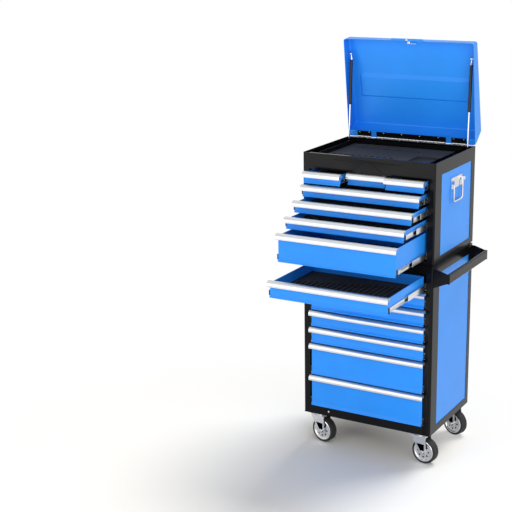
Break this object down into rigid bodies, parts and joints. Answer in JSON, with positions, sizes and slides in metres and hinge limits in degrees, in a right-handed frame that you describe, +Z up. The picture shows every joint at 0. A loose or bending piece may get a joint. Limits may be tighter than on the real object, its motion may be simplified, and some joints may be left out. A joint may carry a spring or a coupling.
{
  "type": "tool chest and rolling cabinet",
  "caption": "Steel tool chest with a hinged lid and ball-bearing drawers, standing on a matching rolling drawer cabinet with swivel casters and a side push handle.",
  "frame": {"origin": "on the floor, under the middle of the bounding box of the whole object as posed (lid open, eight drawers part open)", "axes": "+Z up, +X to the right when facing the drawers (the push handle is on +X), -Y out of the drawer fronts"},
  "size_m": [0.7656, 0.9914, 1.9666],
  "materials": {
    "black_steel": "satin",
    "blue_steel": "gloss",
    "drawer_blue": "gloss",
    "satin_aluminium": "satin",
    "zinc_steel": "satin",
    "wheel": "matte",
    "bright_steel": "polished",
    "strut_black": "gloss"
  },
  "bodies": {
    "cabinet_and_chest": {"cabinet_frame": "black_steel", "cabinet_panels": "blue_steel", "chest_frame": "black_steel", "chest_panels": "blue_steel", "slide_rails": "zinc_steel", "side_handle": "black_steel", "caster_plates": "zinc_steel", "till_tray": "black_steel", "lid_hinges": "black_steel"},
    "small_drawer_left": {"small_drawer_left": "drawer_blue"},
    "small_drawer_middle": {"small_drawer_middle": "drawer_blue"},
    "small_drawer_right": {"small_drawer_right": "drawer_blue"},
    "chest_drawer_1": {"chest_drawer_1_box": "drawer_blue", "chest_drawer_1_pull": "satin_aluminium"},
    "chest_drawer_1_runners": {"chest_drawer_1_runners": "zinc_steel"},
    "chest_drawer_2": {"chest_drawer_2_box": "drawer_blue", "chest_drawer_2_pull": "satin_aluminium"},
    "chest_drawer_2_runners": {"chest_drawer_2_runners": "zinc_steel"},
    "chest_drawer_3": {"chest_drawer_3_box": "drawer_blue", "chest_drawer_3_pull": "satin_aluminium"},
    "chest_drawer_3_runners": {"chest_drawer_3_runners": "zinc_steel"},
    "chest_drawer_4": {"chest_drawer_4_box": "drawer_blue", "chest_drawer_4_pull": "satin_aluminium"},
    "chest_drawer_4_runners": {"chest_drawer_4_runners": "zinc_steel"},
    "cabinet_drawer_1": {"cabinet_drawer_1_box": "drawer_blue", "cabinet_drawer_1_pull": "satin_aluminium"},
    "cabinet_drawer_1_runners": {"cabinet_drawer_1_runners": "zinc_steel"},
    "cabinet_drawer_2": {"cabinet_drawer_2_box": "drawer_blue", "cabinet_drawer_2_pull": "satin_aluminium"},
    "cabinet_drawer_2_runners": {"cabinet_drawer_2_runners": "zinc_steel"},
    "cabinet_drawer_3": {"cabinet_drawer_3_box": "drawer_blue", "cabinet_drawer_3_pull": "satin_aluminium"},
    "cabinet_drawer_3_runners": {"cabinet_drawer_3_runners": "zinc_steel"},
    "cabinet_drawer_4": {"cabinet_drawer_4_box": "drawer_blue", "cabinet_drawer_4_pull": "satin_aluminium"},
    "cabinet_drawer_4_runners": {"cabinet_drawer_4_runners": "zinc_steel"},
    "cabinet_drawer_5": {"cabinet_drawer_5_box": "drawer_blue", "cabinet_drawer_5_pull": "satin_aluminium"},
    "cabinet_drawer_5_runners": {"cabinet_drawer_5_runners": "zinc_steel"},
    "cabinet_drawer_6": {"cabinet_drawer_6_box": "drawer_blue", "cabinet_drawer_6_pull": "satin_aluminium"},
    "cabinet_drawer_6_runners": {"cabinet_drawer_6_runners": "zinc_steel"},
    "cabinet_drawer_7": {"cabinet_drawer_7_box": "drawer_blue", "cabinet_drawer_7_pull": "satin_aluminium"},
    "cabinet_drawer_7_runners": {"cabinet_drawer_7_runners": "zinc_steel"},
    "lid": {"lid": "blue_steel"},
    "lid_lock": {"lid_lock": "bright_steel"},
    "cabinet_lock": {"cabinet_lock": "bright_steel"},
    "strut_cylinders": {"strut_cylinders": "strut_black"},
    "strut_rods": {"strut_rods": "bright_steel"},
    "bail_right": {"bail_right": "bright_steel"},
    "bail_left": {"bail_left": "bright_steel"},
    "caster_fork_front_left": {"caster_fork_front_left": "zinc_steel"},
    "caster_wheel_front_left": {"caster_wheel_front_left": "wheel"},
    "caster_fork_front_right": {"caster_fork_front_right": "zinc_steel"},
    "caster_wheel_front_right": {"caster_wheel_front_right": "wheel"},
    "caster_fork_rear_right": {"caster_fork_rear_right": "zinc_steel"},
    "caster_wheel_rear_right": {"caster_wheel_rear_right": "wheel"},
    "caster_fork_rear_left": {"caster_fork_rear_left": "zinc_steel"},
    "caster_wheel_rear_left": {"caster_wheel_rear_left": "wheel"}
  },
  "joints": [
    {"name": "small_drawer_left_slide", "type": "slide", "parent": "cabinet_and_chest", "child": "small_drawer_left", "axis": [0, -1, 0], "range_m": [-0.06, 0.22]},
    {"name": "small_drawer_middle_slide", "type": "slide", "parent": "cabinet_and_chest", "child": "small_drawer_middle", "axis": [0, -1, 0], "range_m": [-0.008, 0.272]},
    {"name": "small_drawer_right_slide", "type": "slide", "parent": "cabinet_and_chest", "child": "small_drawer_right", "axis": [0, -1, 0], "range_m": [-0.035, 0.245]},
    {"name": "chest_drawer_1_slide", "type": "slide", "parent": "cabinet_and_chest", "child": "chest_drawer_1", "axis": [0, -1, 0], "range_m": [-0.08, 0.32]},
    {"name": "chest_drawer_1_runner_slide", "type": "slide", "parent": "cabinet_and_chest", "child": "chest_drawer_1_runners", "axis": [0, -1, 0], "range_m": [-0.04, 0.16]},
    {"name": "chest_drawer_2_slide", "type": "slide", "parent": "cabinet_and_chest", "child": "chest_drawer_2", "axis": [0, -1, 0], "range_m": [-0.16, 0.24]},
    {"name": "chest_drawer_2_runner_slide", "type": "slide", "parent": "cabinet_and_chest", "child": "chest_drawer_2_runners", "axis": [0, -1, 0], "range_m": [-0.08, 0.12]},
    {"name": "chest_drawer_3_slide", "type": "slide", "parent": "cabinet_and_chest", "child": "chest_drawer_3", "axis": [0, -1, 0], "range_m": [-0.24, 0.16]},
    {"name": "chest_drawer_3_runner_slide", "type": "slide", "parent": "cabinet_and_chest", "child": "chest_drawer_3_runners", "axis": [0, -1, 0], "range_m": [-0.12, 0.08]},
    {"name": "chest_drawer_4_slide", "type": "slide", "parent": "cabinet_and_chest", "child": "chest_drawer_4", "axis": [0, -1, 0], "range_m": [-0.32, 0.08]},
    {"name": "chest_drawer_4_runner_slide", "type": "slide", "parent": "cabinet_and_chest", "child": "chest_drawer_4_runners", "axis": [0, -1, 0], "range_m": [-0.16, 0.04]},
    {"name": "cabinet_drawer_1_slide", "type": "slide", "parent": "cabinet_and_chest", "child": "cabinet_drawer_1", "axis": [0, -1, 0], "range_m": [-0.4, 0]},
    {"name": "cabinet_drawer_1_runner_slide", "type": "slide", "parent": "cabinet_and_chest", "child": "cabinet_drawer_1_runners", "axis": [0, -1, 0], "range_m": [-0.2, 0]},
    {"name": "cabinet_drawer_2_slide", "type": "slide", "parent": "cabinet_and_chest", "child": "cabinet_drawer_2", "axis": [0, -1, 0], "range_m": [0, 0.4]},
    {"name": "cabinet_drawer_2_runner_slide", "type": "slide", "parent": "cabinet_and_chest", "child": "cabinet_drawer_2_runners", "axis": [0, -1, 0], "range_m": [0, 0.2]},
    {"name": "cabinet_drawer_3_slide", "type": "slide", "parent": "cabinet_and_chest", "child": "cabinet_drawer_3", "axis": [0, -1, 0], "range_m": [0, 0.4]},
    {"name": "cabinet_drawer_3_runner_slide", "type": "slide", "parent": "cabinet_and_chest", "child": "cabinet_drawer_3_runners", "axis": [0, -1, 0], "range_m": [0, 0.2]},
    {"name": "cabinet_drawer_4_slide", "type": "slide", "parent": "cabinet_and_chest", "child": "cabinet_drawer_4", "axis": [0, -1, 0], "range_m": [0, 0.4]},
    {"name": "cabinet_drawer_4_runner_slide", "type": "slide", "parent": "cabinet_and_chest", "child": "cabinet_drawer_4_runners", "axis": [0, -1, 0], "range_m": [0, 0.2]},
    {"name": "cabinet_drawer_5_slide", "type": "slide", "parent": "cabinet_and_chest", "child": "cabinet_drawer_5", "axis": [0, -1, 0], "range_m": [0, 0.4]},
    {"name": "cabinet_drawer_5_runner_slide", "type": "slide", "parent": "cabinet_and_chest", "child": "cabinet_drawer_5_runners", "axis": [0, -1, 0], "range_m": [0, 0.2]},
    {"name": "cabinet_drawer_6_slide", "type": "slide", "parent": "cabinet_and_chest", "child": "cabinet_drawer_6", "axis": [0, -1, 0], "range_m": [0, 0.4]},
    {"name": "cabinet_drawer_6_runner_slide", "type": "slide", "parent": "cabinet_and_chest", "child": "cabinet_drawer_6_runners", "axis": [0, -1, 0], "range_m": [0, 0.2]},
    {"name": "cabinet_drawer_7_slide", "type": "slide", "parent": "cabinet_and_chest", "child": "cabinet_drawer_7", "axis": [0, -1, 0], "range_m": [0, 0.4]},
    {"name": "cabinet_drawer_7_runner_slide", "type": "slide", "parent": "cabinet_and_chest", "child": "cabinet_drawer_7_runners", "axis": [0, -1, 0], "range_m": [0, 0.2]},
    {"name": "lid_hinge", "type": "hinge", "parent": "cabinet_and_chest", "child": "lid", "pos_m": [-0.03125, 0.41431, 1.469], "axis": [1, 0, 0], "range_deg": [0, 82.5]},
    {"name": "lid_lock_turn", "type": "hinge", "parent": "lid", "child": "lid_lock", "pos_m": [-0.03125, 0.37415, 1.95794], "axis": [0, 0.1305, -0.9914], "range_deg": [0, 90]},
    {"name": "cabinet_lock_turn", "type": "hinge", "parent": "cabinet_and_chest", "child": "cabinet_lock", "pos_m": [-0.03125, -0.07569, 0.964], "axis": [0, -1, 0], "range_deg": [0, 90]},
    {"name": "strut_swing", "type": "hinge", "parent": "lid", "child": "strut_cylinders", "pos_m": [-0.03125, 0.39166, 1.87855], "axis": [1, 0, 0], "range_deg": [-1.68, 0]},
    {"name": "strut_stroke", "type": "slide", "parent": "strut_cylinders", "child": "strut_rods", "axis": [0, 0.0553, 0.9985], "range_m": [0, 0.08881]},
    {"name": "bail_right_swing", "type": "hinge", "parent": "cabinet_and_chest", "child": "bail_right", "pos_m": [0.31225, 0.18431, 1.343], "axis": [0, -1, 0], "range_deg": [0, 90]},
    {"name": "bail_left_swing", "type": "hinge", "parent": "cabinet_and_chest", "child": "bail_left", "pos_m": [-0.37475, 0.18431, 1.343], "axis": [0, 1, 0], "range_deg": [0, 90]},
    {"name": "front_left_swivel", "type": "hinge", "parent": "cabinet_and_chest", "child": "caster_fork_front_left", "pos_m": [-0.30125, -0.02569, 0.1385], "axis": [0, 0, 1], "continuous": true},
    {"name": "front_left_roll", "type": "hinge", "parent": "caster_fork_front_left", "child": "caster_wheel_front_left", "pos_m": [-0.27582, -0.03109, 0.0625], "axis": [0.2079, 0.9781, 0], "continuous": true},
    {"name": "front_right_swivel", "type": "hinge", "parent": "cabinet_and_chest", "child": "caster_fork_front_right", "pos_m": [0.23875, -0.02569, 0.1385], "axis": [0, 0, 1], "continuous": true},
    {"name": "front_right_roll", "type": "hinge", "parent": "caster_fork_front_right", "child": "caster_wheel_front_right", "pos_m": [0.2645, -0.02931, 0.0625], "axis": [0.1392, 0.9903, 0], "continuous": true},
    {"name": "rear_right_swivel", "type": "hinge", "parent": "cabinet_and_chest", "child": "caster_fork_rear_right", "pos_m": [0.23875, 0.36431, 0.1385], "axis": [0, 0, 1], "continuous": true},
    {"name": "rear_right_roll", "type": "hinge", "parent": "caster_fork_rear_right", "child": "caster_wheel_rear_right", "pos_m": [0.26333, 0.35585, 0.0625], "axis": [0.3256, 0.9455, 0], "continuous": true},
    {"name": "rear_left_swivel", "type": "hinge", "parent": "cabinet_and_chest", "child": "caster_fork_rear_left", "pos_m": [-0.30125, 0.36431, 0.1385], "axis": [0, 0, 1], "continuous": true},
    {"name": "rear_left_roll", "type": "hinge", "parent": "caster_fork_rear_left", "child": "caster_wheel_rear_left", "pos_m": [-0.27682, 0.35542, 0.0625], "axis": [0.342, 0.9397, 0], "continuous": true}
  ],
  "couplings": [
    {"joint": "chest_drawer_1_runner_slide", "follows": "chest_drawer_1_slide", "ratio": 0.5},
    {"joint": "chest_drawer_2_runner_slide", "follows": "chest_drawer_2_slide", "ratio": 0.5},
    {"joint": "chest_drawer_3_runner_slide", "follows": "chest_drawer_3_slide", "ratio": 0.5},
    {"joint": "chest_drawer_4_runner_slide", "follows": "chest_drawer_4_slide", "ratio": 0.5},
    {"joint": "cabinet_drawer_1_runner_slide", "follows": "cabinet_drawer_1_slide", "ratio": 0.5},
    {"joint": "cabinet_drawer_2_runner_slide", "follows": "cabinet_drawer_2_slide", "ratio": 0.5},
    {"joint": "cabinet_drawer_3_runner_slide", "follows": "cabinet_drawer_3_slide", "ratio": 0.5},
    {"joint": "cabinet_drawer_4_runner_slide", "follows": "cabinet_drawer_4_slide", "ratio": 0.5},
    {"joint": "cabinet_drawer_5_runner_slide", "follows": "cabinet_drawer_5_slide", "ratio": 0.5},
    {"joint": "cabinet_drawer_6_runner_slide", "follows": "cabinet_drawer_6_slide", "ratio": 0.5},
    {"joint": "cabinet_drawer_7_runner_slide", "follows": "cabinet_drawer_7_slide", "ratio": 0.5},
    {"joint": "strut_swing", "follows": "lid_hinge", "ratio": -0.020275},
    {"joint": "strut_stroke", "follows": "lid_hinge", "m_per_rad": 0.061606}
  ]
}
